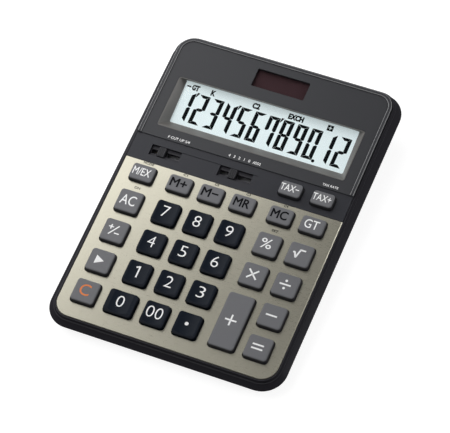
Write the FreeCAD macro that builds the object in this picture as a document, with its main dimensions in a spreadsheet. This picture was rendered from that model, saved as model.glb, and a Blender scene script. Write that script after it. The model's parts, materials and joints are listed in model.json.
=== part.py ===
import FreeCAD, Part
import os
import re
import Sketcher

# Every size of the calculator, in millimetres and degrees.
# The deck is the sloping plane of the key plate: x to the right, y to the rear, z out of the deck,
# with its origin in the middle of the case and z = 0 on the top of the key plate.
DIMENSIONS = {
    # Case
    "case_width": 151,
    "case_length": 212.2,
    "tilt": 5,
    "front_height": 15,
    "foot_height": 1.5,
    "skirt_out": 5.17,
    "parting_front": 5.7,
    "parting_rear": 9.63,
    "deck_corner": 10,
    "wall": 2,
    "lip_out": 0.9,
    "lip_drop": 0.3,
    "shoulder_out": 2.15,
    "shoulder_drop": 2.3,
    "shoulder_step": 0.6,
    "ledge_out": 0.55,
    "ledge_drop": 0.12,
    "base_inset_side": 9.5,
    "base_inset_front": 9.5,
    "base_inset_rear": 12,
    "base_corner": 8,
    "cut_over": 10,
    # Plate and head panel
    "plate_thick": 0.8,
    "strip_length": 18.06,
    "plate_gap": 0.5,
    "plate_chamfer": 0.3,
    "seam_gap": 0.3,
    "head_length": 72.6,
    "head_rise": 0.6,
    "bead_rise": 0.8,
    "bead_width": 2.3,
    "bead_round": 0.55,
    "groove_width": 0.5,
    "groove_depth": 0.3,
    "groove_over": 3,
    # Keys
    "side_margin": 7.555,
    "column_gap": 5.15,
    "group_gap": 8.85,
    "front_margin": 9.7,
    "row_gap": 5.95,
    "short_gap": 7.1,
    "seam_margin": 3.35,
    "tax_gap": 7.85,
    "tax_shift": 0.85,
    "short_key_length": 11.6,
    "zero_over": 3,
    "plus_over": 1.4,
    "tax_under": 1.2,
    "tax_key_length": 9.9,
    "key_gap": 0.4,
    "key_corner": 2.2,
    "key_height": 3,
    "key_draft": 3,
    "key_round": 1,
    "number_round": 0.35,
    "dish_radius": 34,
    "dish_depth": 0.55,
    "bevel_angle": 33,
    "bevel_drop": 1.2,
    "bevel_reach": 4,
    "key_travel": 1.8,
    "key_clear": 0.3,
    "bottom_gap": 0.2,
    "flange_out": 1,
    "flange_thick": 1,
    "stem_radius": 2.2,
    "stem_length": 0.9,
    # Mat and board
    "mat_thick": 1,
    "mat_inset": 1,
    "dome_radius": 3.5,
    "dome_draft": 30,
    "board_thick": 1.6,
    "board_side": 8.33,
    "board_front_inset": 2.7,
    "board_over": 4,
    "board_corner": 3,
    "board_screw_x": 45,
    "board_screw_inset": 6,
    "chip_radius": 8,
    "chip_thick": 1.5,
    # Slide switches
    "switch_gap": 9.05,
    "switch_recess": 7.5,
    "switch_sink": 1,
    "recess_corner": 0.5,
    "knob_width": 4.6,
    "knob_length": 6.6,
    "knob_rise": 0.6,
    "knob_clear": 0.4,
    "knob_corner": 0.6,
    "knob_round": 0.4,
    "grip_width": 0.5,
    "grip_depth": 0.35,
    "neck_width": 3.4,
    "neck_length": 2.4,
    "slider_length": 6,
    "slider_over": 1,
    "wiper_thick": 0.5,
    "wiper_inset": 1,
    "finger_width": 0.8,
    "finger_x": 1.5,
    "rounding_center": -48.25,
    "rounding_pitch": 4.7,
    "decimal_center": -2.5,
    "decimal_pitch": 3.2,
    # Display
    "display_side": 9.73,
    "display_gap": 8.07,
    "solar_gap": 8.13,
    "bezel_rim": 0.4,
    "bezel_flange": 2.4,
    "bezel_drop": 0.1,
    "bezel_corner": 1,
    "flange_corner": 2,
    "funnel_side": 3.8,
    "funnel_length": 6,
    "view_shift": 3.93,
    "view_depth": 4.35,
    "view_tilt": 6.5,
    "window_margin": 1.2,
    "window_thick": 1,
    "film_gap": 0.1,
    "lcd_margin": 3.2,
    "lcd_thick": 2.2,
    "reflector_thick": 0.3,
    "reflector_inset": 1,
    "holder_wall": 1.8,
    "holder_floor": 1.5,
    "holder_corner": 1.5,
    "ear_length": 8,
    "ear_corner": 2,
    "ear_gap": 0.8,
    "ear_screw_inset": 3.2,
    "ribbon_width": 60,
    "ribbon_thick": 0.3,
    "ribbon_lap": 3,
    "ribbon_side": 2,
    "panel_clear": 0.15,
    # Solar cell
    "solar_inset": 14.1,
    "solar_width": 34.4,
    "solar_length": 12.8,
    "solar_margin": 1,
    "solar_corner": 0.8,
    "solar_cell_inset": 0.2,
    "solar_window_thick": 1,
    "solar_cell_thick": 1.1,
    "wire_radius": 0.45,
    "wire_bend": 2,
    "wire_drop": 14,
    "lead_x": 6,
    "lead_inset": 4,
    "lead_gap": 0.1,
    "lead_lift": 2,
    "lead_spacing": 3,
    # Screws and bosses
    "boss_radius": 2.2,
    "case_boss_radius": 2.4,
    "low_boss_radius": 4.5,
    "boss_clear": 0.35,
    "rear_screw_side": 30,
    "rear_screw_inset": 17,
    "join_depth": 11,
    "shelf": 2,
    "screw_radius": 1.2,
    "screw_length": 8,
    "screw_head_radius": 2.75,
    "screw_head": 1.8,
    "small_screw_radius": 1,
    "small_screw_length": 4.5,
    "small_head_radius": 1.8,
    "small_head": 1.4,
    "slot_width": 0.6,
    "slot_depth": 0.5,
    "screw_clear": 0.1,
    "head_clear": 0.3,
    # Feet and battery bay
    "foot_radius": 6,
    "foot_sink": 0.5,
    "foot_round": 0.4,
    "foot_side": 14,
    "foot_front_inset": 22,
    "foot_rear_inset": 26,
    "bay_x": -28,
    "bay_inset": 48.1,
    "bay_width": 36,
    "bay_length": 32,
    "bay_height": 9.5,
    "bay_corner": 2,
    "door_width": 31,
    "door_length": 26,
    "door_thick": 1.5,
    "door_gap": 0.2,
    "door_corner": 2,
    "door_screw_inset": 3,
    "cell_radius": 10,
    "cell_thick": 3.2,
    "cell_cap_rise": 0.4,
    "cell_cap_inset": 1.5,
    "cell_clear": 0.4,
    "cell_shift": 2.5,
    "cell_pad": 1.2,
    "contact_thick": 0.5,
    "contact_width": 8,
    "contact_length": 6,
    "point_radius": 1.5,
    "leaf_width": 2,
    "leaf_thick": 0.3,
    "leaf_foot": 5,
}

# Lengths worked out from the sizes above.
DERIVED = {
    "deck_width": "(case_width - 2*skirt_out)",
    "deck_length": "(case_length - 2*skirt_out)",
    "deck_depth": "(plate_thick + wall)",
    "flange_top": "(plate_thick + wall + key_clear)",
    "stem_end": "(flange_top + flange_thick + stem_length)",
    "mat_top": "(stem_end + key_travel + bottom_gap)",
    "board_top": "(mat_top + mat_thick)",
    "parting_mid": "((parting_front + parting_rear)/2)",
    "parting_fall": "atan((parting_rear - parting_front)/case_length)",
    "key_width": "((deck_width - 2*side_margin - 2*group_gap - 3*column_gap)/6)",
    "key_pitch": "(key_width + column_gap)",
    "group_pitch": "(key_width + group_gap)",
    "zero_key_width": "(key_width + zero_over)",
    "plus_key_width": "(key_width + plus_over)",
    "tax_key_width": "(key_width - tax_under)",
    "plate_length": "(deck_length - head_length - strip_length)",
    "key_field": "(plate_length - front_margin - seam_margin)",
    "key_length": "((key_field - 3*row_gap - short_gap - short_key_length)/4)",
    "row_pitch": "(key_length + row_gap)",
    "short_row_pitch": "((key_length + short_key_length)/2 + short_gap)",
    "tax_row_pitch": "((short_key_length + tax_key_length)/2 + tax_gap)",
    "bezel_width": "(deck_width - 2*display_side)",
    "bezel_length": "(head_length - display_gap - solar_gap - solar_inset - solar_length/2 - 2*bezel_rim)",
    "display_inset": "(head_length - display_gap - bezel_rim - bezel_length/2)",
    "view_width": "(bezel_width - 2*funnel_side)",
    "view_length": "(bezel_length - funnel_length)",
    "board_width": "(deck_width - 2*board_side)",
    "board_rear_inset": "(head_length - board_over)",
    "switch_inset": "(head_length + switch_gap)",
    "foot_x": "(case_width/2 - base_inset_side - foot_side)",
    "bay_y": "(case_length/2 - bay_inset)",
    "left_column": "(-group_pitch - 1.5*key_pitch)",
    "plus_column": "(group_pitch + 0.5*key_pitch)",
    "row_five": "(-deck_length/2 + front_margin + key_length/2)",
    "deck_rear": "(deck_length/2)",
    "seam": "(-deck_length/2 + plate_length)",
    "lcd_width": "(view_width + 2*lcd_margin)",
    "lcd_length": "(view_length + 2*lcd_margin)",
    "lcd_under": "(window_thick + film_gap + lcd_thick + reflector_thick)",
    "right_gap": "(0.5*key_pitch + key_width/2 + flange_out + case_boss_radius + boss_clear)",
    "left_gap": "(-group_pitch - 1.5*key_pitch + key_width/2 + flange_out + case_boss_radius + boss_clear)",
    "deck_origin": "(front_height + case_length/2*sin(tilt))",
    "door_top": "(foot_height + door_gap + door_thick)",
    "cell_top": "(foot_height + door_gap + door_thick + cell_pad + cell_thick)",
}

doc = FreeCAD.newDocument("calculator")
sheet = doc.addObject("Spreadsheet::Sheet", "dims")
for line, (name, size) in enumerate(DIMENSIONS.items(), 1):
    sheet.set("A%d" % line, name)
    sheet.set("B%d" % line, str(size))
    sheet.setAlias("B%d" % line, name)
doc.recompute()


def formula(text):
    """Turn the names of sizes in a formula into cells of the sheet."""
    def expand(match):
        word = match.group(0)
        if word in DERIVED:
            return formula(DERIVED[word])
        if word in DIMENSIONS:
            return "dims." + word
        return word
    return re.sub(r"[a-z][a-z_]*", expand, str(text))


def number(text):
    return float(sheet.evalExpression(formula(text)))


def bind(item, prop, text):
    item.setExpression(prop, formula(text))


def place(x="0", y="0", z="0", turn="0", axis="1;0;0"):
    return "placement(vector(%s; %s; %s); rotation(vector(%s); %s))" % (x, y, z, axis, turn)


deck = doc.addObject("App::Placement", "deck")
bind(deck, "Placement", place("0", "-parting_mid*sin(tilt)", "deck_origin", "tilt"))
VIEW_PLACE = place("0", "deck_rear - display_inset + view_shift", "-view_depth", "view_tilt")
view = doc.addObject("App::Placement", "view")
bind(view, "Placement", "deck.Placement * " + VIEW_PLACE)
PARTING_PLACE = place("0", "0", "-parting_mid", "-parting_fall")
bodies = []
waiting = {}


def new_body(label, where=None, separate=False):
    body = doc.addObject("PartDesign::Body", label)
    body.Label = label
    body.AllowCompound = separate
    if where:
        bind(body, "Placement", where)
    bodies.append(body)
    return body


def new_sketch(body, name, where="0"):
    """A sketch parallel to the body's ground plane, at a height or at a full placement."""
    sketch = body.newObject("Sketcher::SketchObject", body.Label + "_" + name)
    ground = [item for item in body.Origin.OriginFeatures if item.Role == "XY_Plane"][0]
    sketch.AttachmentSupport = (ground, [""])
    sketch.MapMode = "FlatFace"
    waiting[sketch.Name] = []
    bind(sketch, "AttachmentOffset", where if "placement" in where else place("0", "0", where))
    return sketch


def hold(sketch, kind, *args):
    """Note one constraint whose last argument is a formula."""
    waiting[sketch.Name].append((Sketcher.Constraint(kind, *args[:-1], number(args[-1])), args[-1]))


def relate(sketch, kind, *args):
    """Note one constraint without a size."""
    waiting[sketch.Name].append((Sketcher.Constraint(kind, *args), None))


def settle(sketch):
    """Put all the noted constraints into a finished sketch at once."""
    notes = waiting.pop(sketch.Name)
    sketch.addConstraint([constraint for constraint, text in notes])
    for index, (constraint, text) in enumerate(notes):
        if text:
            bind(sketch, "Constraints[%d]" % index, text)
    sketch.Visibility = False


def circle(sketch, x, y, radius):
    index = sketch.GeometryCount
    middle = FreeCAD.Vector(number(x), number(y), 0)
    sketch.addGeometry(Part.Circle(middle, FreeCAD.Vector(0, 0, 1), number(radius)))
    hold(sketch, "Radius", index, radius)
    hold(sketch, "DistanceX", -1, 1, index, 3, x)
    hold(sketch, "DistanceY", -1, 1, index, 3, y)


def rectangle(sketch, width, length, x="0", y="0"):
    first = sketch.GeometryCount
    half_x = number(width)/2
    half_y = number(length)/2
    signs = ((-1, -1), (1, -1), (1, 1), (-1, 1))
    corners = [FreeCAD.Vector(number(x) + a*half_x, number(y) + b*half_y, 0) for a, b in signs]
    for side in range(4):
        sketch.addGeometry(Part.LineSegment(corners[side], corners[(side + 1) % 4]))
    for side in range(4):
        relate(sketch, "Coincident", first + side, 2, first + (side + 1) % 4, 1)
        relate(sketch, "Vertical" if side % 2 else "Horizontal", first + side)
    hold(sketch, "DistanceX", first, 1, first, 2, width)
    hold(sketch, "DistanceY", first + 1, 1, first + 1, 2, length)
    hold(sketch, "DistanceX", -1, 1, first, 1, "%s - (%s)/2" % (x, width))
    hold(sketch, "DistanceY", -1, 1, first, 1, "%s - (%s)/2" % (y, length))


def rounded(sketch, width, length, corner, x="0", y="0"):
    """A rectangle with four equal round corners, running anticlockwise from its front side."""
    first = sketch.GeometryCount
    radius = number(corner)
    half_x = number(width)/2 - radius
    half_y = number(length)/2 - radius
    signs = ((-1, -1), (1, -1), (1, 1), (-1, 1))
    middles = [FreeCAD.Vector(number(x) + a*half_x, number(y) + b*half_y, 0) for a, b in signs]
    out = (FreeCAD.Vector(0, -radius, 0), FreeCAD.Vector(radius, 0, 0),
           FreeCAD.Vector(0, radius, 0), FreeCAD.Vector(-radius, 0, 0))
    quarter = FreeCAD.Units.Quantity("90 deg").getValueAs("rad").Value
    for side in range(4):
        after = (side + 1) % 4
        sketch.addGeometry(Part.LineSegment(middles[side] + out[side], middles[after] + out[side]))
        arc = Part.Circle(middles[after], FreeCAD.Vector(0, 0, 1), radius)
        sketch.addGeometry(Part.ArcOfCircle(arc, (side - 1)*quarter, side*quarter))
    for part in range(8):
        relate(sketch, "Tangent", first + part, 2, first + (part + 1) % 8, 1)
    for side in range(4):
        relate(sketch, "Vertical" if side % 2 else "Horizontal", first + 2*side)
    for part in (3, 5, 7):
        relate(sketch, "Equal", first + 1, first + part)
    hold(sketch, "Radius", first + 1, corner)
    hold(sketch, "DistanceX", first + 6, 1, first + 2, 1, width)
    hold(sketch, "DistanceY", first, 1, first + 4, 1, length)
    hold(sketch, "DistanceX", -1, 1, first + 6, 1, "%s - (%s)/2" % (x, width))
    hold(sketch, "DistanceY", -1, 1, first, 1, "%s - (%s)/2" % (y, length))


def pad(body, sketch, length, down=False, draft=None):
    settle(sketch)
    feature = body.newObject("PartDesign::Pad", sketch.Name + "_pad")
    feature.Profile = sketch
    feature.Reversed = down
    bind(feature, "Length", length)
    if draft:
        bind(feature, "TaperAngle", draft)
    return feature


def pocket(body, sketch, depth=None, up=False):
    """Cut from the sketch downwards, or upwards, by a depth or through everything."""
    settle(sketch)
    feature = body.newObject("PartDesign::Pocket", sketch.Name + "_cut")
    feature.Profile = sketch
    feature.Reversed = up
    if depth:
        bind(feature, "Length", depth)
    else:
        feature.Type = "ThroughAll"
    return feature


def loft(body, kind, sketches):
    for sketch in sketches:
        settle(sketch)
    feature = body.newObject(kind, sketches[0].Name + "_loft")
    feature.Profile = sketches[0]
    feature.Sections = sketches[1:]
    feature.Ruled = True
    return feature


def solid(body, kind, name, sizes, where):
    """An additive or subtractive primitive of a body."""
    feature = body.newObject("PartDesign::" + kind, body.Label + "_" + name)
    for prop, size in sizes.items():
        bind(feature, prop, size)
    bind(feature, "Placement", where)
    return feature


def box(body, name, width, length, thick, x, y, bottom):
    """A block centred on x and y, with its underside at bottom."""
    where = place("%s - (%s)/2" % (x, width), "%s - (%s)/2" % (y, length), bottom)
    return solid(body, "AdditiveBox", name, {"Length": width, "Width": length, "Height": thick}, where)


def dress(body, kind, prop, size, chosen):
    """Round or bevel the edges of the body's last feature that a test picks."""
    doc.recompute()
    base = body.Tip
    names = ["Edge%d" % n for n, edge in enumerate(base.Shape.Edges, 1) if chosen(edge)]
    feature = body.newObject(kind, base.Name + "_edge")
    feature.Base = (base, names)
    bind(feature, prop, size)
    return feature


def at_height(edge, height):
    box_of = edge.BoundBox
    return abs(box_of.ZMin - height) < 1e-4 and abs(box_of.ZMax - height) < 1e-4


# Columns and rows of the keys, in deck coordinates.
COLUMNS = ["left_column", "-1.5*key_pitch", "-0.5*key_pitch", "0.5*key_pitch", "plus_column",
           "plus_column + key_pitch"]
ROWS = {5: "row_five", 4: "row_five + row_pitch", 3: "row_five + 2*row_pitch", 2: "row_five + 3*row_pitch",
        1: "row_five + 3*row_pitch + short_row_pitch",
        0: "row_five + 3*row_pitch + short_row_pitch + tax_row_pitch"}
GRID = {
    1: ("memory_exchange", "memory_plus", "memory_minus", "memory_recall", "memory_clear", "grand_total"),
    2: ("all_clear", "7", "8", "9", "percent", "root"),
    3: ("sign", "4", "5", "6", "times", "divide"),
    4: ("back", "1", "2", "3", None, "minus"),
    5: ("clear", None, "double_zero", "point", None, "equals"),
}
NUMBER_KEYS = ("0", "1", "2", "3", "4", "5", "6", "7", "8", "9", "double_zero", "point")

# Each key: its name, middle and size.
KEYS = []
for row, names in GRID.items():
    for column, name in zip(COLUMNS, names):
        if name:
            length = "short_key_length" if row == 1 else "key_length"
            KEYS.append((name, column, ROWS[row], "key_width", length))
KEYS.append(("0", "-1.5*key_pitch + key_width/2 - zero_key_width/2", ROWS[5], "zero_key_width", "key_length"))
KEYS.append(("plus", "plus_column + key_width/2 - plus_key_width/2", "row_five + row_pitch/2",
             "plus_key_width", "key_length + row_pitch"))
KEYS.append(("tax_minus", "plus_column - tax_shift", ROWS[0], "tax_key_width", "tax_key_length"))
KEYS.append(("tax_plus", "plus_column + key_pitch - tax_shift", ROWS[0], "tax_key_width", "tax_key_length"))
PLATE_KEYS = [key for key in KEYS if not key[0].startswith("tax")]
STRIP_KEYS = [key for key in KEYS if key[0].startswith("tax")]

# Slide switches: name, middle of the recess, pitch of the positions, steps, and the step it rests on.
SWITCH_Y = "deck_rear - switch_inset"
SWITCHES = (("rounding", "rounding_center", "rounding_pitch", 3, 1),
            ("decimal", "decimal_center", "decimal_pitch", 5, 2))

# Screws: those that close the case, and the small ones that hold the board and the display tray.
CASE_SCREWS = (("left_gap", "row_five + 0.66*row_pitch"), ("right_gap", "row_five + 0.66*row_pitch"),
               ("left_gap", ROWS[2]), ("right_gap", ROWS[2]),
               ("-deck_width/2 + rear_screw_side", "deck_rear - rear_screw_inset"),
               ("deck_width/2 - rear_screw_side", "deck_rear - rear_screw_inset"))
BOARD_SCREWS = (("left_gap", "row_five + 1.5*row_pitch"), ("right_gap", "row_five + 1.5*row_pitch"),
                ("left_gap", ROWS[1]), ("right_gap", ROWS[1]),
                ("-board_screw_x", "deck_rear - head_length"), ("board_screw_x", "deck_rear - head_length"),
                ("-key_pitch", "board_screw_inset - deck_rear"),
                ("plus_column + key_pitch/2", "board_screw_inset - deck_rear"))
TRAY_SCREWS = (("-deck_width/2 + ear_screw_inset", "deck_rear - display_inset + view_shift"),
               ("deck_width/2 - ear_screw_inset", "deck_rear - display_inset + view_shift"))
DISPLAY_Y = "deck_rear - display_inset"
SOLAR_Y = "deck_rear - solar_inset"
SOLAR_UNDER = "(plate_thick + solar_window_thick + film_gap + solar_cell_thick)"


def cut_key_openings(body, keys):
    """Cut the openings of the keys through a body, one row of keys at a time."""
    rows = {}
    for name, x, y, width, length in keys:
        rows.setdefault(y, []).append((x, width, length))
    for index, (y, row_keys) in enumerate(rows.items()):
        sketch = new_sketch(body, "row_%d" % index)
        for x, width, length in row_keys:
            rounded(sketch, width + " + 2*key_gap", length + " + 2*key_gap", "key_corner + key_gap", x, y)
        pocket(body, sketch).Refine = False


def recess_length(pitch, steps):
    return "%d*%s + knob_width + 2*knob_clear" % (steps, pitch)


def outline(sketch, out):
    """The round-cornered outline of the deck, moved out by a distance."""
    rounded(sketch, "deck_width + 2*(%s)" % out, "deck_length + 2*(%s)" % out, "deck_corner + %s" % out)


def parting(sketch, inward):
    """The outline where the two halves of the case meet."""
    rounded(sketch, "case_width - 2*(%s)" % inward, "case_length/cos(parting_fall) - 2*(%s)" % inward,
            "deck_corner + skirt_out - (%s)" % inward)


# Upper case
upper = new_body("upper_case", "deck.Placement")
profile = (("lip", "lip_out", "-lip_drop"),
           ("brow", "shoulder_out - ledge_out", "-shoulder_drop + ledge_drop"),
           ("ridge", "shoulder_out", "-shoulder_drop"),
           ("step", "shoulder_out", "-shoulder_drop - shoulder_step"))
sections = []
for name, out, height in profile:
    sections.append(new_sketch(upper, name, height))
    outline(sections[-1], out)
sections.append(new_sketch(upper, "parting", PARTING_PLACE))
parting(sections[-1], "0")
loft(upper, "PartDesign::AdditiveLoft", sections)
seat = new_sketch(upper, "seat", "-plate_thick")
outline(seat, "plate_gap")
pocket(upper, seat, up=True)
cavity = [new_sketch(upper, "roof", "-deck_depth"), new_sketch(upper, "mouth", PARTING_PLACE)]
outline(cavity[0], "shoulder_out - wall")
parting(cavity[1], "wall")
loft(upper, "PartDesign::SubtractiveLoft", cavity)
small_bosses = new_sketch(upper, "small_bosses", "-deck_depth")
for x, y in BOARD_SCREWS + TRAY_SCREWS:
    circle(small_bosses, x, y, "boss_radius")
pad(upper, small_bosses, "board_top - deck_depth", down=True)
case_bosses = new_sketch(upper, "case_bosses", "-deck_depth")
for x, y in CASE_SCREWS:
    circle(case_bosses, x, y, "case_boss_radius")
pad(upper, case_bosses, "join_depth - deck_depth", down=True)
cut_key_openings(upper, KEYS)
openings = new_sketch(upper, "openings")
rounded(openings, "bezel_width + 2*(bezel_rim + bezel_flange + 2*panel_clear)",
        "bezel_length + 2*(bezel_rim + bezel_flange + 2*panel_clear)", "flange_corner", "0", DISPLAY_Y)
rectangle(openings, "solar_width + 2*(solar_margin + panel_clear)",
          "solar_length + 2*(solar_margin + panel_clear)", "0", SOLAR_Y)
for name, middle, pitch, steps, rest in SWITCHES:
    slot = "%d*%s + neck_width + 2*knob_clear" % (steps, pitch)
    rectangle(openings, slot, "neck_length + 2*key_clear", middle, SWITCH_Y)
pocket(upper, openings)
sinks = new_sketch(upper, "switch_sinks", "-plate_thick")
for name, middle, pitch, steps, rest in SWITCHES:
    rounded(sinks, recess_length(pitch, steps), "switch_recess", "recess_corner", middle, SWITCH_Y)
pocket(upper, sinks, "switch_sink")
small_pilots = new_sketch(upper, "small_pilots", "-board_top")
for x, y in BOARD_SCREWS + TRAY_SCREWS:
    circle(small_pilots, x, y, "small_screw_radius + screw_clear/2")
pocket(upper, small_pilots, "small_screw_length - board_thick + 2*screw_clear", up=True)
case_pilots = new_sketch(upper, "case_pilots", "-join_depth")
for x, y in CASE_SCREWS:
    circle(case_pilots, x, y, "screw_radius + screw_clear/2")
pocket(upper, case_pilots, "screw_length - shelf + 2*screw_clear", up=True)

# Key plate
plate = new_body("key_plate", "deck.Placement")
sheet_metal = new_sketch(plate, "outline", "-plate_thick")
outline(sheet_metal, "0")
pad(plate, sheet_metal, "plate_thick")
rear_cut = new_sketch(plate, "rear")
rectangle(rear_cut, "2*deck_width", "deck_rear - seam + cut_over", "0", "(deck_rear + seam + cut_over)/2")
pocket(plate, rear_cut)
dress(plate, "PartDesign::Chamfer", "Size", "plate_chamfer",
      lambda edge: at_height(edge, 0) and edge.CenterOfMass.y < number("seam") - 0.01)
cut_key_openings(plate, PLATE_KEYS)

# Head panel: the strip, the head and its rounded rim
panel = new_body("display_panel", "deck.Placement")
block = new_sketch(panel, "outline", "-plate_thick")
outline(block, "0")
pad(panel, block, "plate_thick + head_rise + bead_rise")
front_cut = new_sketch(panel, "front", "head_rise + bead_rise")
rectangle(front_cut, "2*deck_width", "seam + seam_gap + deck_rear + cut_over", "0",
          "(seam + seam_gap - deck_rear - cut_over)/2")
pocket(panel, front_cut)
strip_cut = new_sketch(panel, "strip")
rectangle(strip_cut, "2*deck_width", "2*deck_rear - head_length + cut_over", "0",
          "-(head_length + cut_over)/2")
pocket(panel, strip_cut, up=True)
dress(panel, "PartDesign::Fillet", "Radius", "bead_round",
      lambda edge: at_height(edge, number("head_rise + bead_rise"))
      and edge.CenterOfMass.y > number("deck_rear - head_length") + 0.01)
field = new_sketch(panel, "field", "head_rise")
outline(field, "-bead_width")
pocket(panel, field, up=True)
FIELD_X = number("deck_width/2 - bead_width") + 0.01
dress(panel, "PartDesign::Fillet", "Radius", "bead_round",
      lambda edge: at_height(edge, number("head_rise + bead_rise")) and edge.BoundBox.XMax < FIELD_X
      and edge.BoundBox.XMin > -FIELD_X and edge.BoundBox.YMax < number("deck_rear - bead_width") + 0.01)
groove = new_sketch(panel, "groove")
GROOVE_LEFT = "rounding_center - (%s)/2" % recess_length("rounding_pitch", 3)
GROOVE_RIGHT = "decimal_center + (%s)/2 + groove_over" % recess_length("decimal_pitch", 5)
rectangle(groove, "(%s) - (%s)" % (GROOVE_RIGHT, GROOVE_LEFT), "groove_width",
          "((%s) + (%s))/2" % (GROOVE_RIGHT, GROOVE_LEFT), SWITCH_Y + " + switch_recess/2 - groove_width/2")
pocket(panel, groove, "groove_depth")
cut_key_openings(panel, STRIP_KEYS)
cutouts = new_sketch(panel, "cutouts", "head_rise + bead_rise")
rounded(cutouts, "bezel_width + 2*(bezel_rim + panel_clear)", "bezel_length + 2*(bezel_rim + panel_clear)",
        "bezel_corner + bezel_rim + panel_clear", "0", DISPLAY_Y)
rounded(cutouts, "solar_width", "solar_length", "solar_corner", "0", SOLAR_Y)
for name, middle, pitch, steps, rest in SWITCHES:
    rounded(cutouts, recess_length(pitch, steps), "switch_recess", "recess_corner", middle, SWITCH_Y)
pocket(panel, cutouts)

# Display bezel: a rim with a flange under the panel, hollowed to a funnel over the sloping display
bezel = new_body("display_bezel", "deck.Placement")
rim = new_sketch(bezel, "rim", "head_rise - bezel_drop")
rounded(rim, "bezel_width + 2*bezel_rim", "bezel_length + 2*bezel_rim", "bezel_corner + bezel_rim",
        "0", DISPLAY_Y)
pad(bezel, rim, "3*view_depth", down=True)
flange = new_sketch(bezel, "flange", "-plate_thick")
rounded(flange, "bezel_width + 2*(bezel_rim + bezel_flange)", "bezel_length + 2*(bezel_rim + bezel_flange)",
        "flange_corner", "0", DISPLAY_Y)
pad(bezel, flange, "wall/2", down=True)
under = new_sketch(bezel, "under", VIEW_PLACE)
rectangle(under, "2*bezel_width", "3*bezel_length")
pocket(bezel, under)
funnel = [new_sketch(bezel, "funnel_top", "head_rise - bezel_drop"),
          new_sketch(bezel, "funnel_end", VIEW_PLACE)]
rounded(funnel[0], "bezel_width", "bezel_length", "bezel_corner", "0", DISPLAY_Y)
rounded(funnel[1], "view_width", "view_length", "bezel_corner")
loft(bezel, "PartDesign::SubtractiveLoft", funnel)

# Display window, panel, reflector and tray, square to the sloping display
window = new_body("display_window", "view.Placement")
box(window, "sheet", "view_width + 2*window_margin", "view_length + 2*window_margin", "window_thick",
    "0", "0", "-window_thick")
lcd = new_body("lcd_panel", "view.Placement")
box(lcd, "glass", "lcd_width", "lcd_length", "lcd_thick", "0", "0", "-window_thick - film_gap - lcd_thick")
reflector = new_body("lcd_reflector", "view.Placement")
box(reflector, "sheet", "lcd_width - 2*reflector_inset", "lcd_length - 2*reflector_inset", "reflector_thick",
    "0", "0", "-lcd_under")
tray = new_body("lcd_holder", "view.Placement")
tray_block = new_sketch(tray, "block", "-lcd_under - holder_floor")
rounded(tray_block, "lcd_width + 2*(panel_clear + holder_wall)", "lcd_length + 2*(panel_clear + holder_wall)",
        "holder_corner")
pad(tray, tray_block, "holder_floor + lcd_under - window_thick - key_clear")
EAR_PLACE = place("0", "(view_depth - board_top)*sin(view_tilt)", "(view_depth - board_top)*cos(view_tilt)",
                  "-view_tilt")
ears = new_sketch(tray, "ears", EAR_PLACE)
rounded(ears, "deck_width - 2*ear_gap", "ear_length", "ear_corner")
pad(tray, ears, "board_thick", down=True)
tray_well = new_sketch(tray, "well", "-lcd_under")
rectangle(tray_well, "lcd_width + 2*panel_clear", "lcd_length + 2*panel_clear")
pocket(tray, tray_well, up=True)
mouth = new_sketch(tray, "ribbon_mouth", "-lcd_under")
rectangle(mouth, "ribbon_width + 2*ribbon_side", "lcd_length", "0", "-lcd_length/2")
pocket(tray, mouth, up=True)
ear_holes = new_sketch(tray, "ear_holes", EAR_PLACE)
for side in ("-", ""):
    circle(ear_holes, side + "(deck_width/2 - ear_screw_inset)", "0", "small_screw_radius + 2*screw_clear")
pocket(tray, ear_holes)

# Flat cable from the front edge of the display to the top of the board
ribbon = new_body("lcd_ribbon", "deck.Placement")
RIBBON_REAR = DISPLAY_Y + " + view_shift - lcd_length/2*cos(view_tilt) + window_thick*sin(view_tilt)"
RIBBON_FRONT = "deck_rear - board_rear_inset - ribbon_lap"
box(ribbon, "sheet", "ribbon_width", "%s - (%s)" % (RIBBON_REAR, RIBBON_FRONT), "ribbon_thick", "0",
    "(%s + %s)/2" % (RIBBON_REAR, RIBBON_FRONT), "-board_top")

# Solar window, cell and wires
solar_glass = new_body("solar_window", "deck.Placement")
box(solar_glass, "sheet", "solar_width + 2*solar_margin", "solar_length + 2*solar_margin",
    "solar_window_thick", "0", SOLAR_Y, "-plate_thick - solar_window_thick")
solar = new_body("solar_cell", "deck.Placement")
box(solar, "sheet", "solar_width + 2*(solar_margin - solar_cell_inset)",
    "solar_length + 2*(solar_margin - solar_cell_inset)", "solar_cell_thick", "0", SOLAR_Y, "-" + SOLAR_UNDER)


def bend(body, name, x, y, z, quarter):
    """A quarter ring across the body: 0 rear and up, 2 front and down, 3 rear and down."""
    turn = "rotation(vector(1; 0; 0); %d)" % (90*quarter)
    where = "placement(vector(%s; %s; %s); %s * rotation(vector(1; 1; 1); 120))" % (x, y, z, turn)
    feature = solid(body, "AdditiveTorus", name, {"Radius1": "wire_bend", "Radius2": "wire_radius"}, where)
    feature.Angle3 = 90
    return feature


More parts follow.
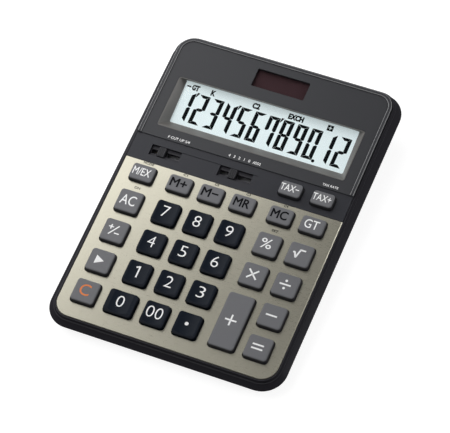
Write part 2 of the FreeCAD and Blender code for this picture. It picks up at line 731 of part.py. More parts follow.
def wire(body, name, x, start, run, end):
    """A wire from the point start (y, z), along the height run, to the point end (y, z) in front of it."""
    falling = number("%s - (%s)" % (run, start[1])) < 0
    inward = "+" if falling else "-"
    turn_height = "%s %s wire_bend" % (run, inward)
    low = run + " + wire_bend" if falling else start[1]
    rise = "%s - (%s)" % (start[1], turn_height) if falling else "%s - (%s)" % (turn_height, start[1])
    rod = {"Radius": "wire_radius", "Height": rise}
    solid(body, "AdditiveCylinder", name + "_start", rod, place(x, start[0], low))
    bend(body, name + "_first_bend", x, start[0] + " - wire_bend", turn_height, 3 if falling else 0)
    rod["Height"] = "%s - (%s) - 2*wire_bend" % (start[0], end[0])
    solid(body, "AdditiveCylinder", name + "_run", rod, place(x, start[0] + " - wire_bend", run, "90"))
    bend(body, name + "_last_bend", x, end[0] + " + wire_bend", run + " + wire_bend", 2)
    rod["Height"] = "%s - (%s) - wire_bend" % (end[1], run)
    solid(body, "AdditiveCylinder", name + "_end", rod, place(x, end[0], run + " + wire_bend"))


solar_leads = new_body("solar_leads", "deck.Placement", separate=True)
for name, x in (("left", "-lead_x"), ("right", "lead_x")):
    wire(solar_leads, name, x, (SOLAR_Y, "-" + SOLAR_UNDER), "-wire_drop",
         ("deck_rear - board_rear_inset - lead_inset", "-board_top - board_thick"))

# Circuit board with its chip
BOARD_LENGTH = "(deck_length - board_front_inset - board_rear_inset)"
BOARD_Y = "(board_front_inset - board_rear_inset)/2"
board = new_body("main_board", "deck.Placement")
board_sheet = new_sketch(board, "outline", "-board_top")
rounded(board_sheet, "board_width", BOARD_LENGTH, "board_corner", "0", BOARD_Y)
pad(board, board_sheet, "board_thick", down=True)
board_holes = new_sketch(board, "holes", "-board_top")
for x, y in BOARD_SCREWS:
    circle(board_holes, x, y, "small_screw_radius + 2*screw_clear")
for x, y in CASE_SCREWS[:4]:
    circle(board_holes, x, y, "case_boss_radius + key_clear")
pocket(board, board_holes)
chip = new_body("processor_chip", "deck.Placement")
drop = new_sketch(chip, "drop", "-board_top - board_thick")
circle(drop, "-key_pitch/2", ROWS[2], "chip_radius")
pad(chip, drop, "chip_thick", down=True)
dress(chip, "PartDesign::Fillet", "Radius", "chip_thick*0.8",
      lambda edge: at_height(edge, -number("board_top + board_thick + chip_thick")))

# Key mat: a sheet on the board with a dome under every key
mat = new_body("key_mat", "deck.Placement")
mat_sheet = new_sketch(mat, "sheet", "-board_top")
MAT_FRONT = "-deck_rear + board_front_inset + mat_inset"
MAT_REAR = "seam - mat_inset"
rectangle(mat_sheet, "board_width - 2*mat_inset", "%s - (%s)" % (MAT_REAR, MAT_FRONT), "0",
          "(%s + %s)/2" % (MAT_REAR, MAT_FRONT))
pad(mat, mat_sheet, "mat_thick")
tongue = new_sketch(mat, "tongue", "-board_top")
TONGUE_X = "plus_column + key_pitch/2 - tax_shift"
rectangle(tongue, "key_pitch + tax_key_width + 2*mat_inset", "tax_row_pitch + 4*mat_inset", TONGUE_X,
          ROWS[0] + " - tax_row_pitch/2 + 4*mat_inset")
pad(mat, tongue, "mat_thick")
domes = new_sketch(mat, "domes", "-mat_top")
for name, x, y, width, length in KEYS:
    circle(domes, x, y, "dome_radius")
pad(mat, domes, "mat_top - stem_end - key_clear", draft="-dome_draft")
mat_holes = new_sketch(mat, "holes")
for x, y in BOARD_SCREWS + CASE_SCREWS[:4]:
    circle(mat_holes, x, y, "case_boss_radius + key_clear")
pocket(mat, mat_holes)

# Keys
for name, x, y, width, length in KEYS:
    key = new_body("key_" + name, "deck.Placement * " + place(x, y, "0"))
    cap = new_sketch(key, "cap", "-flange_top")
    rounded(cap, width, length, "key_corner")
    pad(key, cap, "flange_top + key_height", draft="-key_draft")
    is_number = name in NUMBER_KEYS
    dress(key, "PartDesign::Fillet", "Radius", "number_round" if is_number else "key_round",
          lambda edge: at_height(edge, number("key_height")))
    if is_number:
        solid(key, "SubtractiveCylinder", "dish", {"Radius": "dish_radius", "Height": "2*(%s)" % length},
              place("0", length, "key_height + dish_radius - dish_depth", "90"))
        block = {"Length": "2*(%s)" % width, "Width": "3*bevel_reach", "Height": "2*key_height"}
        solid(key, "SubtractiveBox", "bevel", block,
              place("-(%s)" % width, "-(%s)/2 - bevel_reach*cos(bevel_angle)" % length,
                    "key_height - bevel_drop - bevel_reach*sin(bevel_angle)", "bevel_angle"))
    box(key, "flange", "%s + 2*flange_out" % width, "%s + 2*flange_out" % length, "flange_thick", "0", "0",
        "-flange_top - flange_thick")
    solid(key, "AdditiveCylinder", "stem", {"Radius": "stem_radius", "Height": "stem_length + flange_thick"},
          place("0", "0", "-stem_end"))

# Slide switches: knob, neck and slider under the deck, with the wiper below
for name, middle, pitch, steps, rest in SWITCHES:
    spot = "%s + (%d - %d/2)*%s" % (middle, rest, steps, pitch)
    knob = new_body(name + "_switch_knob", "deck.Placement * " + place(spot, SWITCH_Y, "0"))
    cap = new_sketch(knob, "cap", "-plate_thick - switch_sink + key_clear")
    rounded(cap, "knob_width", "knob_length", "knob_corner")
    pad(knob, cap, "plate_thick + switch_sink - key_clear + knob_rise")
    dress(knob, "PartDesign::Fillet", "Radius", "knob_round",
          lambda edge: at_height(edge, number("knob_rise")))
    grip = new_sketch(knob, "grip", "knob_rise")
    for step in (-1, 0, 1):
        rectangle(grip, "grip_width", "2*knob_length", "%d*knob_width/4" % step)
    pocket(knob, grip, "grip_depth")
    box(knob, "neck", "neck_width", "neck_length", "flange_top - plate_thick - switch_sink + key_clear",
        "0", "0", "-flange_top")
    box(knob, "slider", "knob_width + 2*slider_over", "slider_length", "flange_thick", "0", "0",
        "-flange_top - flange_thick")
    wiper = new_body(name + "_switch_wiper", "deck.Placement * " + place(spot, SWITCH_Y, "0"))
    box(wiper, "strip", "knob_width", "slider_length - 2*wiper_inset", "wiper_thick", "0", "0",
        "-flange_top - flange_thick - wiper_thick")
    for side in ("-", ""):
        box(wiper, "finger_left" if side else "finger_right", "finger_width", "slider_length - 3*wiper_inset",
            "board_top - key_clear - flange_top - flange_thick - wiper_thick", side + "finger_x", "0",
            "-board_top + key_clear")

# Lower case
BASE_WIDTH = "(case_width - 2*base_inset_side)"
BASE_LENGTH = "(case_length - base_inset_front - base_inset_rear)"
BASE_Y = "(base_inset_front - base_inset_rear)/2"
lower = new_body("lower_case")
shell = [new_sketch(lower, "parting", "deck.Placement * " + PARTING_PLACE),
         new_sketch(lower, "base", "foot_height")]
parting(shell[0], "0")
rounded(shell[1], BASE_WIDTH, BASE_LENGTH, "base_corner", "0", BASE_Y)
loft(lower, "PartDesign::AdditiveLoft", shell)
hollow = [new_sketch(lower, "mouth", "deck.Placement * " + PARTING_PLACE),
          new_sketch(lower, "floor", "foot_height + wall")]
parting(hollow[0], "wall")
rounded(hollow[1], BASE_WIDTH + " - wall", BASE_LENGTH + " - wall", "base_corner", "0", BASE_Y)
loft(lower, "PartDesign::SubtractiveLoft", hollow)
for index, (x, y) in enumerate(CASE_SCREWS):
    low_boss = new_sketch(lower, "boss_%d" % index, "deck.Placement * " + place("0", "0", "-join_depth"))
    circle(low_boss, x, y, "low_boss_radius")
    boss_height = "(deck_origin + (%s)*sin(tilt) - foot_height - wall/2)/cos(tilt) - join_depth" % y
    pad(lower, low_boss, boss_height, down=True)
bay = new_sketch(lower, "bay", "foot_height")
rounded(bay, "bay_width", "bay_length", "bay_corner", "bay_x", "bay_y")
pad(lower, bay, "bay_height")
bores = new_sketch(lower, "bores", "deck.Placement * " + place("0", "0", "-join_depth"))
sunk = new_sketch(lower, "counterbores", "deck.Placement * " + place("0", "0", "-join_depth - shelf"))
for x, y in CASE_SCREWS:
    circle(bores, x, y, "screw_radius + 2*screw_clear")
    circle(sunk, x, y, "screw_head_radius + head_clear")
pocket(lower, bores)
pocket(lower, sunk)
FEET = [(side + "foot_x", y) for y in ("-case_length/2 + foot_front_inset", "case_length/2 - foot_rear_inset")
        for side in ("-", "")]
foot_seats = new_sketch(lower, "foot_seats", "foot_height")
for x, y in FEET:
    circle(foot_seats, x, y, "foot_radius + screw_clear")
pocket(lower, foot_seats, "foot_sink", up=True)
door_seat = new_sketch(lower, "door_seat", "foot_height")
rounded(door_seat, "door_width", "door_length", "door_corner", "bay_x", "bay_y")
pocket(lower, door_seat, "door_gap + door_thick", up=True)
CELL_X = "(bay_x - cell_shift)"
DOOR_SCREW_X = "(bay_x + door_width/2 - door_screw_inset)"
cell_well = new_sketch(lower, "cell_well", "foot_height")
circle(cell_well, CELL_X, "bay_y", "cell_radius + cell_clear")
pocket(lower, cell_well, "cell_top - foot_height + 2*contact_thick", up=True)
small_holes = new_sketch(lower, "lead_holes", "foot_height")
LEADS = (("near", "(%s - lead_spacing)" % CELL_X, "bay_y"),
         ("far", CELL_X, "(bay_y + cell_radius - lead_spacing)"))
for name, x, y in LEADS:
    circle(small_holes, x, y, "wire_radius + screw_clear")
pocket(lower, small_holes, up=True)
door_pilot = new_sketch(lower, "door_pilot", "foot_height")
circle(door_pilot, DOOR_SCREW_X, "bay_y", "small_screw_radius + screw_clear/2")
pocket(lower, door_pilot, "door_gap + 1 + small_screw_length", up=True)

# Battery bay
door = new_body("battery_door")
door_sheet = new_sketch(door, "outline", "foot_height + door_gap")
rounded(door_sheet, "door_width - 2*door_gap", "door_length - 2*door_gap", "door_corner - door_gap",
        "bay_x", "bay_y")
pad(door, door_sheet, "door_thick")
cell_pad = new_sketch(door, "cell_pad", "door_top")
circle(cell_pad, CELL_X, "bay_y", "cell_radius/2")
pad(door, cell_pad, "cell_pad")
door_hole = new_sketch(door, "hole", "foot_height + door_gap")
circle(door_hole, DOOR_SCREW_X, "bay_y", "small_screw_radius + screw_clear")
pocket(door, door_hole, up=True)
door_sink = new_sketch(door, "sink", "foot_height + door_gap")
circle(door_sink, DOOR_SCREW_X, "bay_y", "small_head_radius + screw_clear")
pocket(door, door_sink, "door_thick/2", up=True)
cell = new_body("button_cell")
can = new_sketch(cell, "can", "door_top + cell_pad")
circle(can, CELL_X, "bay_y", "cell_radius")
pad(cell, can, "cell_thick - cell_cap_rise")
cap = new_sketch(cell, "cap", "cell_top - cell_cap_rise")
circle(cap, CELL_X, "bay_y", "cell_radius - cell_cap_inset")
pad(cell, cap, "cell_cap_rise")
contacts = new_body("battery_contacts", separate=True)
box(contacts, "cap_plate", "contact_width", "contact_length", "contact_thick", CELL_X, "bay_y",
    "cell_top + contact_thick")
solid(contacts, "AdditiveCylinder", "cap_point", {"Radius": "point_radius", "Height": "contact_thick"},
      place(CELL_X, "bay_y", "cell_top"))
box(contacts, "can_leaf", "leaf_width", "leaf_thick", "cell_thick + 2*contact_thick", CELL_X,
    "bay_y + cell_radius + leaf_thick/2", "door_top + cell_pad")
box(contacts, "can_foot", "leaf_width", "leaf_foot + leaf_thick", "contact_thick", CELL_X,
    "bay_y + cell_radius + (leaf_thick - leaf_foot)/2", "cell_top + contact_thick")
leads = new_body("battery_leads", separate=True)
LEAD_END_Y = "(deck_rear - board_rear_inset - lead_inset)"
LEAD_END_Z = "deck_origin + %s*sin(tilt) - (board_top + board_thick)*cos(tilt) - lead_gap" % LEAD_END_Y
for name, x, y in LEADS:
    wire(leads, name, x, (y, "cell_top + 2*contact_thick"), "foot_height + bay_height + lead_lift",
         (LEAD_END_Y, LEAD_END_Z))


def screws(label, spots, head_plane, radius, length, head_radius, head, where=None, separate=True):
    """Slotted screws standing up from the plane of their heads."""
    body = new_body(label, where, separate)
    shanks = new_sketch(body, "shanks", head_plane)
    heads = new_sketch(body, "heads", head_plane)
    slots = new_sketch(body, "slots", "%s - %s" % (head_plane, head))
    for x, y in spots:
        circle(shanks, x, y, radius)
        circle(heads, x, y, head_radius)
        rectangle(slots, "1.6*" + head_radius, "slot_width", x, y)
    pad(body, heads, head, down=True)
    pad(body, shanks, length)
    pocket(body, slots, "slot_depth", up=True)


screws("case_screws", CASE_SCREWS, "-join_depth - shelf", "screw_radius", "screw_length",
       "screw_head_radius", "screw_head", "deck.Placement")
screws("board_screws", BOARD_SCREWS + TRAY_SCREWS, "-board_top - board_thick", "small_screw_radius",
       "small_screw_length", "small_head_radius", "small_head", "deck.Placement")
screws("battery_door_screw", ((DOOR_SCREW_X, "bay_y"),), "foot_height + door_gap + door_thick/2",
       "small_screw_radius", "small_screw_length", "small_head_radius", "door_thick/2", separate=False)

# Rubber feet
feet = new_body("rubber_feet", separate=True)
soles = new_sketch(feet, "soles")
for x, y in FEET:
    circle(soles, x, y, "foot_radius")
pad(feet, soles, "foot_height + foot_sink")
dress(feet, "PartDesign::Fillet", "Radius", "foot_round", lambda edge: at_height(edge, 0))

doc.recompute()
for item in doc.Objects:
    if "Invalid" in item.State or "Error" in item.State:
        raise RuntimeError("%s did not compute" % item.Name)
os.makedirs("parts", exist_ok=True)
for body in bodies:
    if body.Shape.isNull() or not body.Shape.isValid():
        raise RuntimeError("%s has no valid shape" % body.Label)
    body.Shape.exportStep("parts/%s.step" % body.Label)
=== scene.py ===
import json
import math
import bpy
from mathutils import Matrix, Vector


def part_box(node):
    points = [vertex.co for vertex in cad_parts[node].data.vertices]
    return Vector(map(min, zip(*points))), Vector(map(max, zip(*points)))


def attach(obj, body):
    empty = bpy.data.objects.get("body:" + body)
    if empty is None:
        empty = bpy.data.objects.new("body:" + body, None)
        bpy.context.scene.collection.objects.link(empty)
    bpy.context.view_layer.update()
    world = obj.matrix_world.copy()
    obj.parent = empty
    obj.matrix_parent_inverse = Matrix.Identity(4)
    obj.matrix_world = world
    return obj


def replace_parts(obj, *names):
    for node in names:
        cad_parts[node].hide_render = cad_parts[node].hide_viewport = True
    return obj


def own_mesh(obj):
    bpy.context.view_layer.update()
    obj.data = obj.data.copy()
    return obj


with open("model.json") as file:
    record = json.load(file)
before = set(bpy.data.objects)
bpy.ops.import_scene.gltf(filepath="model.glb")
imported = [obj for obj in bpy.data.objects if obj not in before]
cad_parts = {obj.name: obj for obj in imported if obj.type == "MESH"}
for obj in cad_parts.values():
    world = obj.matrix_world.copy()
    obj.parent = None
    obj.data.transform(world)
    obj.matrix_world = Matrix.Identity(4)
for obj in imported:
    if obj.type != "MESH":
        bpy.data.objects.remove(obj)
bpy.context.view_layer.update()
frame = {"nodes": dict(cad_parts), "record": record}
nodes = frame["nodes"]
scene = bpy.context.scene
MM = 0.001

# The deck is the sloping plane of the key plate; the view is the sloping plane of the display.
# Places on both are in mm.
TILT = math.radians(5)
CASE_LENGTH = 212.2
FRONT_HEIGHT = 15
PARTING_MID = 7.665
DECK_HEIGHT = FRONT_HEIGHT + CASE_LENGTH/2*math.sin(TILT)
DECK = (Matrix.Translation((0, -PARTING_MID*MM*math.sin(TILT), DECK_HEIGHT*MM))
        @ Matrix.Rotation(TILT, 4, "X") @ Matrix.Scale(MM, 4))
VIEW_TILT = math.radians(6.5)
DECK_REAR = 100.93
VIEW_INSET = 42.65
VIEW_DROP = 4.35
VIEW = (DECK @ Matrix.Translation((0, DECK_REAR - VIEW_INSET, -VIEW_DROP))
        @ Matrix.Rotation(VIEW_TILT, 4, "X"))

# Materials; the leans of edges, ledges and walls are where a tint by slope starts, peaks and ends: painted
# highlight on edges and ledges, painted shade on walls
EDGE_STEEP = 0.5
EDGE_ROUND = 0.75
EDGE_FLAT = 0.99
LEDGE_STEEP = 0.75
LEDGE_FLAT = 0.95
WALL_STEEP = 0.3
WALL_ROUND = 0.65
WALL_SHADE_SHARE = 0.9
NOISE_DETAIL = 3.0
RELIEF_DEPTH = 0.0001
SHEET_ROUGHNESS = 0.05


def new_material(name, color, roughness, metallic=0.0, specular=0.5):
    material = bpy.data.materials.new(name)
    material.use_nodes = True
    shader = material.node_tree.nodes["Principled BSDF"]
    shader.inputs["Base Color"].default_value = (*color, 1)
    shader.inputs["Roughness"].default_value = roughness
    shader.inputs["Metallic"].default_value = metallic
    shader.inputs["Specular IOR Level"].default_value = specular
    return material


def add_node(material, kind, **values):
    node = material.node_tree.nodes.new(kind)
    for name, value in values.items():
        node.inputs[name].default_value = value
    return node


def link(material, source, output, target, socket):
    material.node_tree.links.new(source.outputs[output], target.inputs[socket])


def grain(material, scale, bump, spread, stretch=(1, 1, 1)):
    """Fine noise over a material: a little bump, and a roughness that wanders by spread."""
    shader = material.node_tree.nodes["Principled BSDF"]
    place = add_node(material, "ShaderNodeTexCoord")
    mapping = add_node(material, "ShaderNodeMapping", Scale=stretch)
    noise = add_node(material, "ShaderNodeTexNoise", Scale=scale, Detail=NOISE_DETAIL)
    link(material, place, "Object", mapping, "Vector")
    link(material, mapping, "Vector", noise, "Vector")
    rough = add_node(material, "ShaderNodeMapRange")
    middle = shader.inputs["Roughness"].default_value
    rough.inputs["To Min"].default_value = middle - spread
    rough.inputs["To Max"].default_value = middle + spread
    link(material, noise, "Fac", rough, "Value")
    link(material, rough, "Result", shader, "Roughness")
    if bump:
        relief = add_node(material, "ShaderNodeBump", Strength=bump, Distance=RELIEF_DEPTH)
        link(material, noise, "Fac", relief, "Height")
        link(material, relief, "Normal", shader, "Normal")


def finish(name, color, roughness, grains, metallic=0.0, specular=0.5):
    """A material with grain over it; grains are the scale, the bump, the spread and any stretch."""
    material = new_material(name, color, roughness, metallic, specular)
    grain(material, *grains)
    return material


def slope_painted_light(material, color, stops):
    """Paint light or shade on a piece by its slope, as a tint: each stop is a surface's lean, 1 along the
    deck and 0 upright to it, and the share of the tint there."""
    shader = material.node_tree.nodes["Principled BSDF"]
    facing = add_node(material, "ShaderNodeNewGeometry")
    upright = add_node(material, "ShaderNodeVectorMath")
    upright.operation = "DOT_PRODUCT"
    upright.inputs[1].default_value = (0, -math.sin(TILT), math.cos(TILT))
    ramp = add_node(material, "ShaderNodeValToRGB")
    marks = ramp.color_ramp.elements
    for place, (lean, share) in enumerate(stops):
        mark = marks[place] if place < len(marks) else marks.new(lean)
        mark.position = lean
        mark.color = (share, share, share, 1)
    tones = add_node(material, "ShaderNodeMixRGB", Color2=(*color, 1))
    socket = shader.inputs["Base Color"]
    if socket.is_linked:
        material.node_tree.links.new(socket.links[0].from_socket, tones.inputs["Color1"])
    else:
        tones.inputs["Color1"].default_value = socket.default_value
    link(material, facing, "Normal", upright, 0)
    link(material, upright, "Value", ramp, "Fac")
    link(material, ramp, "Color", tones, "Fac")
    link(material, tones, "Color", shader, "Base Color")


def clear(name, tint, gloss):
    """A thin clear sheet: mostly see-through, with a share of gloss."""
    material = bpy.data.materials.new(name)
    material.use_nodes = True
    tree = material.node_tree
    tree.nodes.remove(tree.nodes["Principled BSDF"])
    through = add_node(material, "ShaderNodeBsdfTransparent", Color=(*tint, 1))
    shine = add_node(material, "ShaderNodeBsdfGlossy", Roughness=SHEET_ROUGHNESS)
    mix = add_node(material, "ShaderNodeMixShader", Fac=gloss)
    tree.links.new(through.outputs[0], mix.inputs[1])
    tree.links.new(shine.outputs[0], mix.inputs[2])
    tree.links.new(mix.outputs[0], tree.nodes["Material Output"].inputs["Surface"])
    return material


EDGE_HIGHLIGHT_STOPS = ((EDGE_STEEP, 0), (EDGE_ROUND, 1), (EDGE_FLAT, 0))
LEDGE_HIGHLIGHT_STOPS = ((LEDGE_STEEP, 0), (LEDGE_FLAT, 1))
WALL_SHADE_STOPS = ((WALL_STEEP, WALL_SHADE_SHARE), (WALL_ROUND, 0))
case_black = finish("case_black", (0.029, 0.028, 0.034), 0.36, (3000, 0.004, 0.03), 0.0, 0.06)
# Painted highlight: the case's ledge and its other near-flat faces get a paler tint, as where the lamps light
# them.
slope_painted_light(case_black, (0.046, 0.045, 0.052), LEDGE_HIGHLIGHT_STOPS)
plate_metal = finish("plate_metal", (0.315, 0.302, 0.248), 0.28, (60, 0.008, 0.02, (3, 220, 3)), 1.0)
number_key = finish("number_key", (0.007, 0.011, 0.019), 0.34, (1500, 0.08, 0.05), 0.0, 0.08)
# Painted highlight: the sloped edges round the number keys' tops get a paler tint.
slope_painted_light(number_key, (0.034, 0.038, 0.048), EDGE_HIGHLIGHT_STOPS)
function_key = finish("function_key", (0.160, 0.162, 0.173), 0.48, (1500, 0.08, 0.05), 0.0, 0.25)
# Painted shade: the steep side walls of the function keys are darkened.
slope_painted_light(function_key, (0.035, 0.035, 0.040), WALL_SHADE_STOPS)

# The panel is darker in front of the crease, over the switch strip: painted shade, for the head behind it
# catching more light. Its bead and other sloped edges are pale: painted highlight.
CREASE_Y = 0.0275
CREASE_HALF = 0.0002
STRIP_SHADE_COLOR = (0.036, 0.037, 0.044)
HEAD_COLOR = (0.051, 0.052, 0.057)
panel_grey = finish("panel_grey", HEAD_COLOR, 0.34, (1400, 0.1, 0.05), 0.0, 0.12)
panel_place = add_node(panel_grey, "ShaderNodeTexCoord")
panel_axes = add_node(panel_grey, "ShaderNodeSeparateXYZ")
panel_shade_step = add_node(panel_grey, "ShaderNodeMapRange")
panel_shade_step.inputs["From Min"].default_value = CREASE_Y - CREASE_HALF
panel_shade_step.inputs["From Max"].default_value = CREASE_Y + CREASE_HALF
panel_shade_tones = add_node(panel_grey, "ShaderNodeMixRGB", Color1=(*STRIP_SHADE_COLOR, 1), Color2=(*HEAD_COLOR, 1))
link(panel_grey, panel_place, "Object", panel_axes, "Vector")
link(panel_grey, panel_axes, "Y", panel_shade_step, "Value")
link(panel_grey, panel_shade_step, "Result", panel_shade_tones, "Fac")
link(panel_grey, panel_shade_tones, "Color", panel_grey.node_tree.nodes["Principled BSDF"], "Base Color")
# Painted highlight on the bead and the panel's other sloped edges.
slope_painted_light(panel_grey, (0.55, 0.55, 0.56), EDGE_HIGHLIGHT_STOPS)

# The display's face glows a little, for the light that its sunk frame keeps from it.
LCD_GLOW = 0.46
lcd_face = finish("lcd_face", (0.52, 0.55, 0.56), 0.5, (3000, 0, 0.05))
lcd_shader = lcd_face.node_tree.nodes["Principled BSDF"]
lcd_shader.inputs["Emission Color"].default_value = (0.86, 0.94, 0.96, 1)
lcd_shader.inputs["Emission Strength"].default_value = LCD_GLOW

# Color, roughness, grains, metallic and specular of the other finishes, by slot
PLAIN_FINISHES = {
    "bezel_grey": ((0.13, 0.125, 0.118), 0.45, (1100, 0.08, 0.05)),
    "knob_grey": ((0.030, 0.030, 0.035), 0.42, (1500, 0.1, 0.05), 0.0, 0.2),
    "foot_rubber": ((0.02, 0.02, 0.02), 0.75, (800, 0.3, 0.08)),
    "screw_steel": ((0.55, 0.55, 0.55), 0.35, (900, 0.1, 0.1), 1.0),
    "solar_face": ((0.088, 0.080, 0.091), 0.5, (700, 0, 0.06, (1, 8, 1)), 0.0, 0.05),
    "board_green": ((0.03, 0.2, 0.08), 0.4, (500, 0.1, 0.06)),
    "mat_rubber": ((0.5, 0.5, 0.5), 0.6, (500, 0.1, 0.06)),
    "contact_brass": ((0.7, 0.5, 0.2), 0.35, (900, 0.1, 0.08), 1.0),
    "tray_plastic": ((0.55, 0.55, 0.53), 0.5, (700, 0.1, 0.06)),
    "wire_cover": ((0.4, 0.02, 0.02), 0.4, (900, 0.05, 0.05)),
    "ribbon_film": ((0.5, 0.25, 0.04), 0.3, (900, 0.05, 0.05)),
    "chip_black": ((0.01, 0.01, 0.01), 0.25, (700, 0.05, 0.05)),
    "cell_steel": ((0.65, 0.65, 0.65), 0.25, (900, 0.05, 0.08), 1.0),
    "reflector": ((0.8, 0.8, 0.8), 0.4, (900, 0.05, 0.08), 1.0),
}
FINISHES = {slot: finish(slot, *values) for slot, values in PLAIN_FINISHES.items()}
FINISHES.update({
    "case_black": case_black, "door_black": case_black, "plate_metal": plate_metal, "panel_grey": panel_grey,
    "lcd_face": lcd_face, "number_key": number_key, "function_key": function_key,
    "clear_window": clear("clear_window", (0.97, 0.99, 0.99), 0.012),
    "solar_glass": clear("solar_glass", (0.85, 0.75, 0.75), 0.0),
})
for entry in frame["record"]["subparts"]:
    piece = nodes[entry["node"]]
    piece.data.materials.clear()
    piece.data.materials.append(FINISHES[entry["material_slot"]])

INK_GRAINS = (2500, 0.03, 0.08)
white_print = finish("white_print", (0.97, 0.97, 0.97), 0.5, INK_GRAINS)
orange_print = finish("orange_print", (0.75, 0.19, 0.03), 0.5, INK_GRAINS)
grey_print = finish("grey_print", (0.015, 0.015, 0.015), 0.5, INK_GRAINS, 0.0, 0.1)
black_print = finish("black_print", (0.006, 0.006, 0.008), 0.6, INK_GRAINS, 0.0, 0.05)
lcd_ink = finish("lcd_ink", (0.004, 0.005, 0.006), 0.6, INK_GRAINS, 0.0, 0.0)
# Painted light: the slots' tracks are pale grey to lift the shade at the bottom of the deep slots.
track_grey = finish("track_grey", (0.34, 0.34, 0.36), 0.6, (900, 0.05, 0.05), 0.0, 0.1)

# Flat printed pieces
PRINT_LIFT = 0.04
MITRE = 0.5
LETTER_STEPS = 4
DISC_SIDES = 20


def add_mesh(name, points, faces, matrix, lift, material, body):
    """Flat shapes in a plane, each point raised by lift(x, y), with the thickness of a coat of ink."""
    mesh = bpy.data.meshes.new(name)
    mesh.from_pydata([matrix @ Vector((x, y, lift(x, y))) for x, y in points], [], faces)
    piece = bpy.data.objects.new(name, mesh)
    scene.collection.objects.link(piece)
    mesh.materials.append(material)
    coat = piece.modifiers.new("coat", "SOLIDIFY")
    coat.thickness = PRINT_LIFT*MM
    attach(piece, body)


def level_lift(height):
    """A lift that is the same all over."""
    return lambda x, y: height


def thicken(points, faces, spread):
    """Push the outline of flat faces outwards by spread, or inwards where spread is below 0;
    a very sharp corner moves less."""
    sides = {(face[i - 1], face[i]) for face in faces for i in range(len(face))}
    push = {}
    for start, end in sides:
        if (end, start) not in sides:
            along = (Vector(points[end]) - Vector(points[start])).normalized()
            for corner in (start, end):
                push.setdefault(corner, []).append(Vector((along.y, -along.x)))
    moved = list(points)
    for corner, normals in push.items():
        total = sum(normals, Vector((0, 0)))
        moved[corner] = Vector(points[corner]) + total*spread/max(total.length_squared/2, MITRE)
    return moved


def word_shape(text, width, height, x, y, spread):
    """The points and faces of a word, fitted to a box round x and y, with each side of its strokes
    then moved by spread; with no width it keeps its own shape."""
    curve = bpy.data.curves.new("word", "FONT")
    curve.body = text
    curve.resolution_u = LETTER_STEPS
    holder = bpy.data.objects.new("word", curve)
    scene.collection.objects.link(holder)
    bpy.context.view_layer.update()
    mesh = bpy.data.meshes.new_from_object(holder.evaluated_get(bpy.context.evaluated_depsgraph_get()))
    points = [(v.co.x, v.co.y) for v in mesh.vertices]
    faces = [tuple(p.vertices) for p in mesh.polygons]
    bpy.data.objects.remove(holder)
    bpy.data.curves.remove(curve)
    bpy.data.meshes.remove(mesh)
    low = [min(p[i] for p in points) for i in (0, 1)]
    high = [max(p[i] for p in points) for i in (0, 1)]
    tall = height/(high[1] - low[1])
    wide = width/(high[0] - low[0]) if width else tall
    middle = ((low[0] + high[0])/2, (low[1] + high[1])/2)
    points = [((px - middle[0])*wide + x, (py - middle[1])*tall + y) for px, py in points]
    return thicken(points, faces, spread), faces


def bar(x0, y0, x1, y1, width):
    """A straight stroke from one point to another."""
    length = math.hypot(x1 - x0, y1 - y0)
    nx = -(y1 - y0)/length*width/2
    ny = (x1 - x0)/length*width/2
    return [(x0 - nx, y0 - ny), (x1 - nx, y1 - ny), (x1 + nx, y1 + ny), (x0 + nx, y0 + ny)]


def disc(x, y, radius):
    turn = 2*math.pi/DISC_SIDES
    return [(x + radius*math.cos(i*turn), y + radius*math.sin(i*turn)) for i in range(DISC_SIDES)]


def face_up(shape):
    """The same outline, turned the way round that faces up."""
    area = sum(x0*y1 - x1*y0 for (x0, y0), (x1, y1) in zip(shape, shape[1:] + shape[:1]))
    return shape if area > 0 else shape[::-1]


def join_shapes(*shapes):
    points = []
    faces = []
    for shape in map(face_up, shapes):
        faces.append(tuple(range(len(points), len(points) + len(shape))))
        points.extend(shape)
    return points, faces


# Legends of the keys
KEY_TOP = 3.0
DISH_RADIUS = 34
DISH_DEPTH = 0.55
LEGEND_X = -0.5
DIGIT_SPREAD = -0.11
WHITE_SPREAD = 0.05
BLACK_SPREAD = 0.17
flat_lift = level_lift(KEY_TOP + PRINT_LIFT)


def dish_lift(x, y):
    """The height of the dished top of a number key, over x from the middle of its legend."""
    return KEY_TOP + PRINT_LIFT + DISH_RADIUS - DISH_DEPTH - math.sqrt(DISH_RADIUS**2 - (x + LEGEND_X)**2)


def key_middle(key):
    """The middle of a key, in the deck's x and y."""
    low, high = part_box("key_" + key)
    middle = DECK.inverted() @ ((Vector(low) + Vector(high))/2)
    return middle.x, middle.y


def legend(key, shape, material=white_print, lift=flat_lift):
    x, y = key_middle(key)
    matrix = DECK @ Matrix.Translation((x + LEGEND_X, y, 0))
    points, faces = shape
    add_mesh("legend_" + key, points, faces, matrix, lift, material, "key_" + key)


DIGIT_WIDE = 4.9
ZERO_WIDE = 5.0
DOUBLE_ZERO_WIDE = 10.4
DIGIT_TALL = 7.6
DIGIT_Y = 0.6
NUMBERS = {digit: (digit, DIGIT_WIDE) for digit in "23456789"}
NUMBERS.update({"0": ("0", ZERO_WIDE), "double_zero": ("00", DOUBLE_ZERO_WIDE)})
for key, (text, width) in NUMBERS.items():
    legend(key, word_shape(text, width, DIGIT_TALL, 0, DIGIT_Y, DIGIT_SPREAD), white_print, dish_lift)
ONE_X = 0.6
ONE_STEM = 1.0
ONE_FLAG = 0.9
one = join_shapes(bar(ONE_X, DIGIT_Y - DIGIT_TALL/2, ONE_X, DIGIT_Y + DIGIT_TALL/2, ONE_STEM),
                  bar(0.2, DIGIT_Y + 3.4, -1.5, DIGIT_Y + 2.4, ONE_FLAG))
legend("1", one, white_print, dish_lift)
KEY_POINT_Y = 0.2
KEY_POINT_RADIUS = 1.15
legend("point", join_shapes(disc(0, KEY_POINT_Y, KEY_POINT_RADIUS)), white_print, dish_lift)

